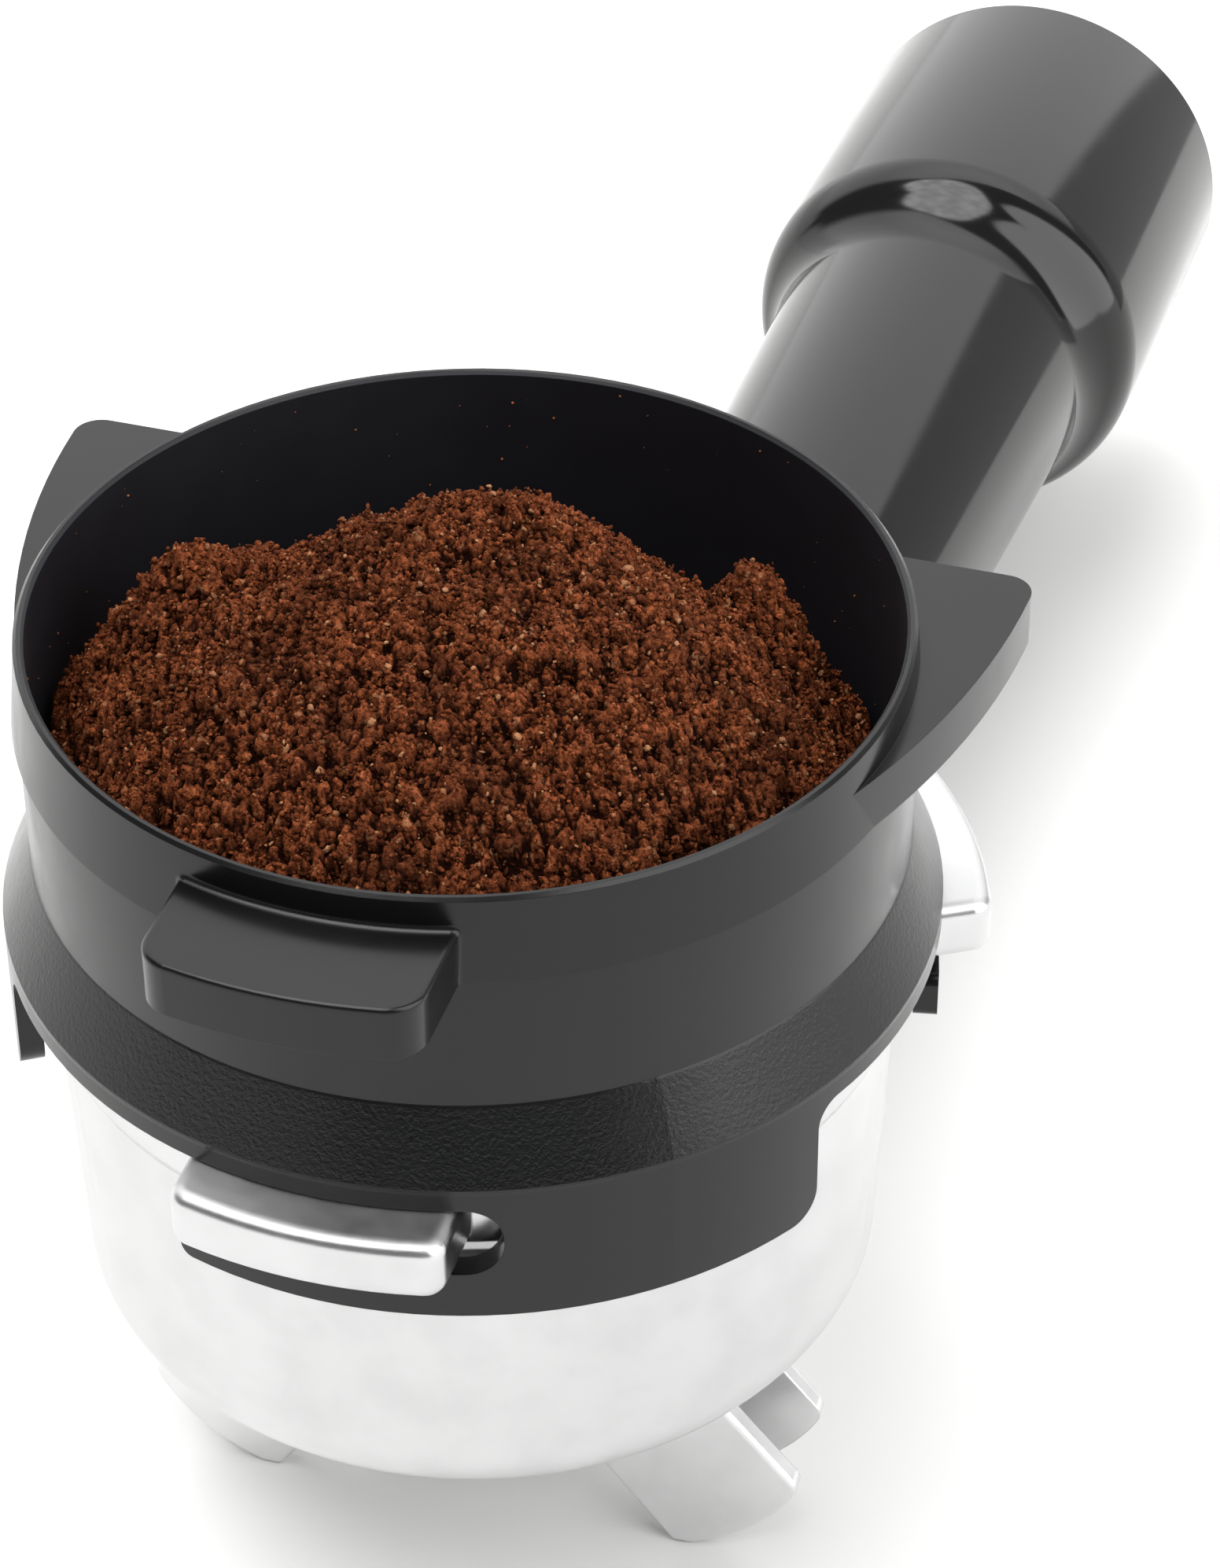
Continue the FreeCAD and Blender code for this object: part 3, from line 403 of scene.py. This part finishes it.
def steel_material(name, tint, rough):
    """Smooth steel with a faint cloud of a duller tint."""
    material, tree, shader = new_material(name)
    where = object_place(tree)
    dull = tuple(0.85 * c for c in tint) + (1,)
    colour = mix_colours(tree, grain(tree, where, 300.0, 4.0), tint + (1,), dull)
    tree.links.new(colour, shader.inputs["Base Color"])
    shader.inputs["Metallic"].default_value = 1.0
    wear = ramp(tree, grain(tree, where, 900.0, 3.0), 0.3, 0.7, rough, rough + 0.08)
    tree.links.new(wear, shader.inputs["Roughness"])
    tree.links.new(bump(tree, grain(tree, where, 1800.0, 2.0), 0.004 * MM, 0.4), shader.inputs["Normal"])
    return material


def rubber_material():
    """Matt black rubber with a fine grain."""
    material, tree, shader = new_material("seal_rubber")
    where = object_place(tree)
    cloud = grain(tree, where, 400.0, 3.0)
    colour = mix_colours(tree, cloud, (0.012, 0.012, 0.012, 1), (0.022, 0.021, 0.021, 1))
    tree.links.new(colour, shader.inputs["Base Color"])
    wear = ramp(tree, grain(tree, where, 1200.0, 3.0), 0.3, 0.7, 0.6, 0.75)
    tree.links.new(wear, shader.inputs["Roughness"])
    tree.links.new(bump(tree, grain(tree, where, 4000.0, 2.0), 0.01 * MM, 0.5), shader.inputs["Normal"])
    return material


def coffee_material():
    """Ground coffee: red-brown, with painted shade that makes it almost black between the crumbs, and a few
    paler flecks.
    Its tone layer says how open a place is to light, which sets that painted shade, which tint its grain has,
    and how pale it is."""
    material, tree, shader = new_material("ground_coffee")
    where = object_place(tree)
    tone = add(tree, "ShaderNodeAttribute", attribute_name="tone", attribute_type="GEOMETRY").outputs["Color"]
    tones = add(tree, "ShaderNodeSeparateColor", {0: tone}).outputs
    fine = ramp(tree, grain(tree, where, 3200.0, 3.0, 0.7), 0.3, 0.7)
    lit = mix_colours(tree, fine, (0.022, 0.0034, 0.0007, 1), (0.350, 0.098, 0.037, 1))
    patch = ramp(tree, grain(tree, where, 170.0, 3.0, 0.6), 0.42, 0.68)
    lit = mix_colours(tree, maths(tree, "MULTIPLY", patch, 0.55), lit, (0.050, 0.017, 0.0085, 1))
    lit = mix_colours(tree, maths(tree, "MULTIPLY", tones["Green"], 0.6), lit, (0.056, 0.0130, 0.0042, 1))
    # painted shade: places less open to light are darkened towards near black
    colour = mix_colours(tree, tones["Red"], (0.0060, 0.0010, 0.0002, 1), lit)
    specks = add(tree, "ShaderNodeTexVoronoi", {"Vector": where, "Scale": 2600.0}, feature="F1")
    rare = add(tree, "ShaderNodeSeparateColor", {0: specks.outputs["Color"]}).outputs["Red"]
    chaff = maths(tree, "MULTIPLY", maths(tree, "GREATER_THAN", rare, 0.965), 0.4)
    chaff = maths(tree, "MAXIMUM", maths(tree, "MULTIPLY", chaff, tones["Red"]), tones["Blue"])
    colour = mix_colours(tree, chaff, colour, (0.38, 0.185, 0.090, 1))
    tree.links.new(colour, shader.inputs["Base Color"])
    shader.inputs["Roughness"].default_value = 0.7
    shader.inputs["Specular IOR Level"].default_value = 0.03
    crumbs = add(tree, "ShaderNodeTexVoronoi", {"Vector": where, "Scale": 5200.0}, feature="F1")
    height = maths(tree, "SUBTRACT", grain(tree, where, 7000.0, 3.0, 0.6), crumbs.outputs["Distance"])
    tree.links.new(bump(tree, height, 0.10 * MM, 0.9), shader.inputs["Normal"])
    return material


# ---------------------------------------------------------------- ground coffee

HEAP_EDGE = 29.9 * MM           # just inside the funnel's wall
HEAP_STEP = 0.2 * MM            # between the points of its surface
HEAP_SEED = 7
# the dome, in mm: its foot, its rise over the foot, its reach, how blunt it is, and how much nearer to
# the viewer than the axis its top stands
DOME_FOOT, DOME_RISE, DOME_REACH, DOME_POWER, DOME_NEARER = 9.0, 19.3, 31.0, 2.6, 4.0
# the far side falls away from this place on, by this much, times the distance to this power
BACK_FROM, BACK_FALL, BACK_POWER = 7.0, 0.11, 1.5
HEAP_LEAST = 5.5
# lumps and dips of the heap: across, away, size and rise, in mm
HEAP_LUMPS = (
    (-1.5, 6.0, 3.4, 1.6), (6.0, 6.5, 2.8, 1.8), (14.8, 8.0, 3.4, -3.0), (20.6, 7.0, 2.2, 4.0),
    (-20.0, 6.0, 3.2, 4.6), (-12.5, 8.0, 2.2, -0.6), (27.5, -1.0, 4.5, -3.0), (-27.0, 4.0, 3.0, 4.0),
    (9.0, -12.0, 6.0, 0.8), (-9.0, -10.0, 6.0, 0.6))
# clumps of the surface: size and rise, in mm, calmer over the last few mm before the wall
HEAP_CLUMPS = ((7.0, 0.5), (3.2, 0.5), (1.5, 0.5), (0.75, 0.22))
CALM_FROM, CALM_OVER, CALM_SHARE = 26.0, 4.0, 0.35
NOISE_CELLS = 160
# grains that stand on the surface: how many, their radii in mm, and how far they rise, in radii
STANDING_GRAINS = ((11000, (0.24, 0.52), (-0.5, 0.55)), (16000, (0.20, 0.30), (-0.2, 0.7)))
GRAIN_HEIGHT = 0.9              # of a standing grain, in radii
GRAIN_WIDTHS = (0.65, 1.0)      # across its length, in radii
GRAIN_SPREAD = 1.02             # the grains reach a little past the heap's edge
GRIT = 0.09                     # random height of every point, in mm
# how open a point is to light, which sets the painted shade between the grains: its level, and the depths, in
# mm, that count against its close and its wider surroundings, which reach this many points to each side
OPEN_LEVEL, NEAR_DEPTH, WIDE_DEPTH = 0.25, 0.26, 0.8
NEAR_POINTS, WIDE_POINTS = 2, 7
# radius and height, in mm, of the rings that carry the heap's edge down into the basket
HEAP_RINGS = ((28.4, 3.6), (25.2, 2.6), (25.2, -20.5), (22.5, -22.9))
# loose grains: name, how many, radii in mm, fineness of the ball, heights in radii, and how jagged
LOOSE_GRAINS = (
    ("coffee_clumps", 2400, (0.15, 0.38), 2, (-0.1, 1.0), 0.32),
    ("coffee_crumbs", 9900, (0.10, 0.27), 1, (0.0, 1.4), 0.45),
    ("coffee_fines", 9900, (0.08, 0.20), 1, (0.2, 2.4), 0.5))
LOOSE_EDGE = HEAP_EDGE - 0.7 * MM
PALE_SHARE = 0.045              # how many of the loose grains are pale flecks, and how pale
PALENESS = (0.35, 0.95)
STRETCH = (0.5, 1.35)           # of a loose grain along each of its axes
DUST_COUNT = 240
DUST_WALL = 30.22 * MM          # radius at which the dust sits on the funnel's inner wall
# least, range and power of its heights and of its radii, in mm
DUST_HEIGHTS = (6.0, 18.2, 1.3)
DUST_RADII = (0.035, 0.09, 2.5)
DUST_TONE = (1.0, 0.2, 0.25, 1.0)


def dome(across, away):
    """Height of the heap, in mm, at a place in mm: across the picture and away from the viewer."""
    reach = np.clip(np.hypot(across, away + DOME_NEARER) / DOME_REACH, 0, 1)
    height = DOME_FOOT + DOME_RISE * (1.0 - reach ** DOME_POWER)
    height = height - BACK_FALL * np.clip(away - BACK_FROM, 0, None) ** BACK_POWER
    for u, d, size, rise in HEAP_LUMPS:
        height = height + rise * np.exp(-((across - u) ** 2 + (away - d) ** 2) / (2.0 * size * size))
    return np.maximum(height, HEAP_LEAST)


def smooth_noise(rng, points, size):
    """Smooth random heights between -1 and 1 over the floor plan, with features of a given size."""
    table = rng.uniform(-1, 1, (NOISE_CELLS, NOISE_CELLS))
    place = points / size + NOISE_CELLS // 2
    low = np.floor(place).astype(int)
    part = place - low
    part = part * part * (3.0 - 2.0 * part)
    low = low % NOISE_CELLS
    high = (low + 1) % NOISE_CELLS
    one = table[low[:, 0], low[:, 1]] * (1 - part[:, 0]) + table[high[:, 0], low[:, 1]] * part[:, 0]
    two = table[low[:, 0], high[:, 1]] * (1 - part[:, 0]) + table[high[:, 0], high[:, 1]] * part[:, 0]
    return one * (1 - part[:, 1]) + two * part[:, 1]


def heap_height(xy):
    """Height of the clumpy surface, in metres, without its grains."""
    rng = np.random.default_rng(HEAP_SEED)
    across = (xy @ np.array(RIGHT[:2])) / MM
    away = (xy @ np.array(AWAY[:2])) / MM
    height = dome(across, away)
    lively = 1.0 - np.clip((np.hypot(across, away) - CALM_FROM) / CALM_OVER, 0, 1)
    for size, rise in HEAP_CLUMPS:
        clumps = rise * smooth_noise(rng, xy / MM, size)
        height = height + clumps * (CALM_SHARE + (1.0 - CALM_SHARE) * lively)
    return height * MM


def stand_grains(rng, surface, count, sizes, lifts):
    """Stand flattened round grains on a square height map; gives the new map and each point's tint."""
    cells = len(surface)
    step = 2 * HEAP_EDGE / (cells - 1)
    spread = HEAP_EDGE * np.sqrt(rng.uniform(0, 1, count)) * GRAIN_SPREAD
    angle = rng.uniform(0, 2 * math.pi, count)
    xs, ys = spread * np.cos(angle), spread * np.sin(angle)
    radii = rng.uniform(*sizes, count)
    rises = rng.uniform(*lifts, count)
    shades = rng.uniform(0, 1, count)
    widths = rng.uniform(*GRAIN_WIDTHS, count)
    turns = rng.uniform(0, math.pi, count)
    tint = np.zeros_like(surface)
    raised = surface.copy()
    for x, y, radius, rise, shade, width, turn in zip(xs, ys, radii, rises, shades, widths, turns):
        first = [max(int((at - radius + HEAP_EDGE) / step), 0) for at in (x, y)]
        last = [min(int((at + radius + HEAP_EDGE) / step) + 2, cells) for at in (x, y)]
        if first[0] >= last[0] or first[1] >= last[1]:
            continue
        here = (slice(first[0], last[0]), slice(first[1], last[1]))
        dx = -HEAP_EDGE + step * np.arange(first[0], last[0])[:, None] - x
        dy = -HEAP_EDGE + step * np.arange(first[1], last[1])[None, :] - y
        cosine, sine = math.cos(turn), math.sin(turn)
        along = (dx * cosine + dy * sine) / radius
        across = (dy * cosine - dx * sine) / (radius * width)
        reach = along ** 2 + across ** 2
        round_top = np.sqrt(np.clip(1.0 - reach, 0, 1))
        foot = tuple(min(max(int((at + HEAP_EDGE) / step), 0), cells - 1) for at in (x, y))
        top = surface[foot] + (rise + round_top * GRAIN_HEIGHT) * radius
        old = raised[here]
        new = np.where(reach < 1.0, np.maximum(old, top), old)
        tint[here] = np.where(new > old, shade, tint[here])
        raised[here] = new
    return raised, tint


def box_blur(field, width):
    """The mean of a height map over a square, width cells to each side."""
    out = field
    for axis in (0, 1):
        padded = np.pad(out, [(width, width) if a == axis else (0, 0) for a in (0, 1)], mode="edge")
        total = np.cumsum(padded, axis=axis)
        total = np.insert(total, 0, 0.0, axis=axis)
        size = 2 * width + 1
        high = np.take(total, range(size, total.shape[axis]), axis=axis)
        low = np.take(total, range(0, total.shape[axis] - size), axis=axis)
        out = (high - low) / size
    return out


def grid_faces(inside):
    """The squares of a grid whose corners are all inside, with the inside points numbered in order."""
    number = -np.ones(inside.shape, int)
    number[inside] = np.arange(inside.sum())
    corners = (number[:-1, :-1], number[1:, :-1], number[1:, 1:], number[:-1, 1:])
    whole = np.logical_and.reduce([corner >= 0 for corner in corners])
    return np.column_stack([corner[whole] for corner in corners])


def paint_tone(mesh, tone):
    """Give each point its tone: how open it is to light, for painted shade, tint of its grain, paleness, and
    an unused 1.
    """
    layer = mesh.color_attributes.new("tone", "FLOAT_COLOR", "POINT")
    layer.data.foreach_set("color", tone.ravel())


def make_heap():
    """The surface of the heap as one closed mesh, with its grains, down to the basket's floor."""
    rng = np.random.default_rng(HEAP_SEED)
    line = np.linspace(-HEAP_EDGE, HEAP_EDGE, int(2 * HEAP_EDGE / HEAP_STEP) + 1)
    xs, ys = np.meshgrid(line, line, indexing="ij")
    height = heap_height(np.column_stack([xs.ravel(), ys.ravel()])).reshape(xs.shape)
    tint = np.zeros_like(height)
    for count, sizes, lifts in STANDING_GRAINS:
        height, shades = stand_grains(rng, height, count, [size * MM for size in sizes], lifts)
        tint = np.where(shades > 0, shades, tint)
    height = height + rng.uniform(-GRIT, GRIT, height.shape) * MM
    # how open each point is to light, from how far it lies below its surroundings; this sets the painted
    # shade
    near = height - box_blur(box_blur(height, NEAR_POINTS), NEAR_POINTS)
    wide = height - box_blur(box_blur(height, WIDE_POINTS), WIDE_POINTS)
    openness_for_painted_shade = np.clip(OPEN_LEVEL + near / (NEAR_DEPTH * MM) + wide / (WIDE_DEPTH * MM), 0.0, 1.0)
    inside = np.hypot(xs, ys) <= HEAP_EDGE
    points = np.column_stack([xs[inside], ys[inside], height[inside]])
    tone = np.zeros((len(points), 4), np.float32)
    tone[:, 0] = openness_for_painted_shade[inside]
    tone[:, 1] = tint[inside]
    tone[:, 3] = 1.0
    mesh = bpy.data.meshes.new("coffee_heap")
    mesh.from_pydata(points.tolist(), [], grid_faces(inside).tolist())
    mesh.shade_smooth()
    paint_tone(mesh, tone)
    close_heap(mesh)
    return put("coffee_heap", mesh), (height, openness_for_painted_shade)


def close_heap(mesh):
    """Carry the edge of the heap down into the basket, so that it is one closed solid."""
    body = bmesh.new()
    body.from_mesh(mesh)
    loose = [v for v in body.verts if not v.link_faces]
    bmesh.ops.delete(body, geom=loose, context="VERTS")
    rim = [e for e in body.edges if e.is_boundary]
    for radius, level in HEAP_RINGS:
        grown = bmesh.ops.extrude_edge_only(body, edges=rim)["geom"]
        for vert in (g for g in grown if isinstance(g, bmesh.types.BMVert)):
            flat = Vector((vert.co.x, vert.co.y)).normalized() * radius * MM
            vert.co = Vector((flat.x, flat.y, level * MM))
        rim = [g for g in grown if isinstance(g, bmesh.types.BMEdge) and g.is_boundary]
    bmesh.ops.contextual_create(body, geom=rim)
    bmesh.ops.recalc_face_normals(body, faces=body.faces)
    body.to_mesh(mesh)
    body.free()


def unit_ball(fineness):
    """Points and triangles of a ball of radius 1."""
    body = bmesh.new()
    bmesh.ops.create_icosphere(body, subdivisions=fineness, radius=1.0)
    points = np.array([v.co[:] for v in body.verts])
    faces = np.array([[v.index for v in f.verts] for f in body.faces])
    body.free()
    return points, faces


def make_grains(name, grains, ball_faces, tone):
    """Many grains as one mesh: the points of each, the faces that they share, and a tone for each."""
    count, size = grains.shape[:2]
    faces = ball_faces[None] + (np.arange(count) * size)[:, None, None]
    mesh = bpy.data.meshes.new(name)
    mesh.from_pydata(grains.reshape(-1, 3).tolist(), [], faces.reshape(-1, 3).tolist())
    mesh.shade_smooth()
    paint_tone(mesh, np.repeat(tone, size, axis=0))
    return put(name, mesh)


def scatter(name, surface, seed, count, sizes, fineness, lifts, jag):
    """Loose crumbs that lie on the heap, each a small ball made irregular, as one mesh."""
    rng = np.random.default_rng(seed)
    height, openness_for_painted_shade = surface
    ball, ball_faces = unit_ball(fineness)
    spread = LOOSE_EDGE * np.sqrt(rng.uniform(0, 1, count))
    angle = rng.uniform(0, 2 * math.pi, count)
    x, y = spread * np.cos(angle), spread * np.sin(angle)
    radius = uneven(rng, count, sizes[0], sizes[1] - sizes[0], 2.0)
    i = np.clip(np.rint((x + HEAP_EDGE) / HEAP_STEP).astype(int), 0, len(height) - 1)
    j = np.clip(np.rint((y + HEAP_EDGE) / HEAP_STEP).astype(int), 0, len(height) - 1)
    z = height[i, j] + radius * rng.uniform(*lifts, count)
    rough = rng.uniform(1.0 - jag, 1.0 + jag, (count, len(ball)))
    stretch = rng.uniform(*STRETCH, (count, 1, 3))
    turns = np.linalg.qr(rng.normal(size=(count, 3, 3)))[0]
    grains = (ball[None] * rough[:, :, None] * stretch * radius[:, None, None]) @ turns
    grains += np.stack([x, y, z], axis=1)[:, None, :]
    pale = (rng.uniform(0, 1, count) < PALE_SHARE) * rng.uniform(*PALENESS, count)
    tone = np.ones((count, 4), np.float32)
    # painted shade: each loose grain is darkened by how open its place on the heap is to light
    tone[:, 0] = np.clip(0.30 + 0.75 * openness_for_painted_shade[i, j] + rng.uniform(-0.2, 0.2, count), 0.0, 1.0)
    tone[:, 1] = rng.uniform(0, 1, count)
    tone[:, 2] = pale
    return make_grains(name, grains, ball_faces, tone)


def uneven(rng, count, least, reach, power):
    """Random values from least up to least + reach, more of them low the higher the power is."""
    return least + reach * rng.uniform(0, 1, count) ** power


def make_dust():
    """A few grains of coffee that cling to the inner wall of the funnel."""
    rng = np.random.default_rng(HEAP_SEED + len(LOOSE_GRAINS) + 1)
    angle = rng.uniform(0, 2 * math.pi, DUST_COUNT)
    height = uneven(rng, DUST_COUNT, *DUST_HEIGHTS) * MM
    ball, ball_faces = unit_ball(1)
    radius = uneven(rng, DUST_COUNT, *DUST_RADII) * MM
    rough = rng.uniform(0.6, 1.4, (DUST_COUNT, len(ball)))
    grains = ball[None] * rough[:, :, None] * radius[:, None, None]
    grains += np.stack([DUST_WALL * np.cos(angle), DUST_WALL * np.sin(angle), height], axis=1)[:, None, :]
    tone = np.tile(np.array(DUST_TONE, np.float32), (DUST_COUNT, 1))
    return make_grains("funnel_dust", grains, ball_faces, tone)


def make_coffee():
    """The heap in place of the CAD one, its loose grains, and the dust on the funnel."""
    material = coffee_material()
    heap, surface = make_heap()
    pieces = [heap]
    for number, (name, count, sizes, *shape) in enumerate(LOOSE_GRAINS, 1):
        sizes = [size * MM for size in sizes]
        pieces.append(scatter(name, surface, HEAP_SEED + number, count, sizes, *shape))
    for piece in pieces:
        piece.data.materials.append(material)
        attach(piece, "portafilter")
    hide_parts("coffee_grounds")
    dust = make_dust()
    dust.data.materials.append(material)
    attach(dust, "funnel")


# ---------------------------------------------------------------- handle

HANDLE_TURN = math.radians(-2.0)
HANDLE_LEVEL = -28.95
TURN_STEPS = 192
ARC_STEPS = 32
EDGE_STEPS = 6
SHARP_ANGLE = math.radians(32)      # edges sharper than this stay crisp


def handle_outline():
    """The handle's closed outline, outside and inside, as distance along its axis and radius, in mm."""
    slope = math.radians(42)
    neck_start, neck_start_r, neck_edge = 42.8, 12.0, (0.25, 0.26)
    neck_end, neck_r, hollow_r = 118.6, 15.0, 8.0
    grip_start, grip_r, crown_r = 127.97, 18.6, 6.0
    grip_end, soft = 159.6, 0.4
    rod_r = 4.3
    cap_seat, cap_seat_r = 156.4, 16.9
    wall_start, wall_end = 117.0, 128.0
    neck_hollow_start, neck_hollow_r, grip_hollow_r = 48.0, 9.5, 15.6
    points = [(neck_start, rod_r), (neck_start, neck_start_r),
              (neck_start + neck_edge[0], neck_start_r + neck_edge[1])]
    for step in range(ARC_STEPS + 1):
        a = slope * step / ARC_STEPS
        points.append((neck_end + hollow_r * math.sin(a), neck_r + hollow_r * (1 - math.cos(a))))
    for step in range(1, ARC_STEPS + 1):
        a = slope * (1 - step / ARC_STEPS)
        points.append((grip_start - crown_r * math.sin(a), grip_r - crown_r * (1 - math.cos(a))))
    for step in range(EDGE_STEPS + 1):
        a = math.radians(90) * step / EDGE_STEPS
        points.append((grip_end - soft + soft * math.sin(a), grip_r - soft + soft * math.cos(a)))
    points += [(grip_end, cap_seat_r), (cap_seat, cap_seat_r), (cap_seat, grip_hollow_r),
               (wall_end, grip_hollow_r), (wall_end, rod_r), (wall_start, rod_r),
               (wall_start, neck_hollow_r), (neck_hollow_start, neck_hollow_r), (neck_hollow_start, rod_r)]
    return points


def make_handle():
    """The moulded handle, turned finely enough for its polish, with its hollow inside."""
    along = np.array([math.cos(HANDLE_TURN), math.sin(HANDLE_TURN), 0.0])
    across = np.array([-math.sin(HANDLE_TURN), math.cos(HANDLE_TURN), 0.0])
    upright = np.array([0.0, 0.0, 1.0])
    outline = np.array(handle_outline())
    turn = 2 * math.pi * np.arange(TURN_STEPS) / TURN_STEPS
    spoke = np.cos(turn)[:, None] * across + np.sin(turn)[:, None] * upright
    points = along * outline[None, :, 0:1] + spoke[:, None, :] * outline[None, :, 1:2]
    points = (points + upright * HANDLE_LEVEL) * MM
    count = len(outline)
    number = np.arange(TURN_STEPS * count).reshape(TURN_STEPS, count)
    after = np.roll(number, -1, axis=0)
    faces = np.stack([number, np.roll(number, -1, axis=1), np.roll(after, -1, axis=1), after], axis=-1)
    mesh = bpy.data.meshes.new("handle_moulding")
    mesh.from_pydata(points.reshape(-1, 3).tolist(), [], faces.reshape(-1, 4).tolist())
    body = bmesh.new()
    body.from_mesh(mesh)
    bmesh.ops.recalc_face_normals(body, faces=body.faces)
    body.to_mesh(mesh)
    body.free()
    mesh.shade_smooth()
    mesh.set_sharp_from_angle(angle=SHARP_ANGLE)
    handle = put("handle_moulding", mesh)
    mesh.materials.append(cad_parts["end_cap"].data.materials[0])
    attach(handle, "portafilter")
    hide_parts("handle_body")


# ---------------------------------------------------------------- carried-over nodes

def dress(nodes, material):
    """Give the named CAD nodes one material."""
    for name in nodes:
        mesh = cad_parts[name].data
        mesh.materials.clear()
        mesh.materials.append(material)


def dress_nodes():
    """A material for each CAD node."""
    head = aluminium_material("head_casting", (0.61, 0.61, 0.615), 0.21, 0.262, 0.010 * MM, 0.10)
    # painted light: the spout's tint is paler than the head's, to brighten its reflections of the shaded
    # floor
    spout = aluminium_material("spout_casting", (0.79, 0.79, 0.795), 0.22, 0.266, 0.012 * MM, 0.10)
    dress(["head_body"], head)
    dress(["spout"], spout)
    dress(["dosing_funnel"], funnel_material())
    dress(["handle_body", "end_cap"], handle_material())
    dress(["filter_basket", "basket_spring"], steel_material("stainless_sheet", (0.62, 0.62, 0.63), 0.14))
    dress(["spout_screw", "handle_rod", "handle_washer", "spring_washer", "handle_nut", "index_pin"],
          steel_material("plated_steel", (0.55, 0.55, 0.55), 0.26))
    dress(["spout_gasket", "neck_ring"], rubber_material())


bpy.context.scene.view_settings.view_transform = "Standard"
make_camera()
make_world()
make_studio()
dress_nodes()
make_handle()
make_coffee()
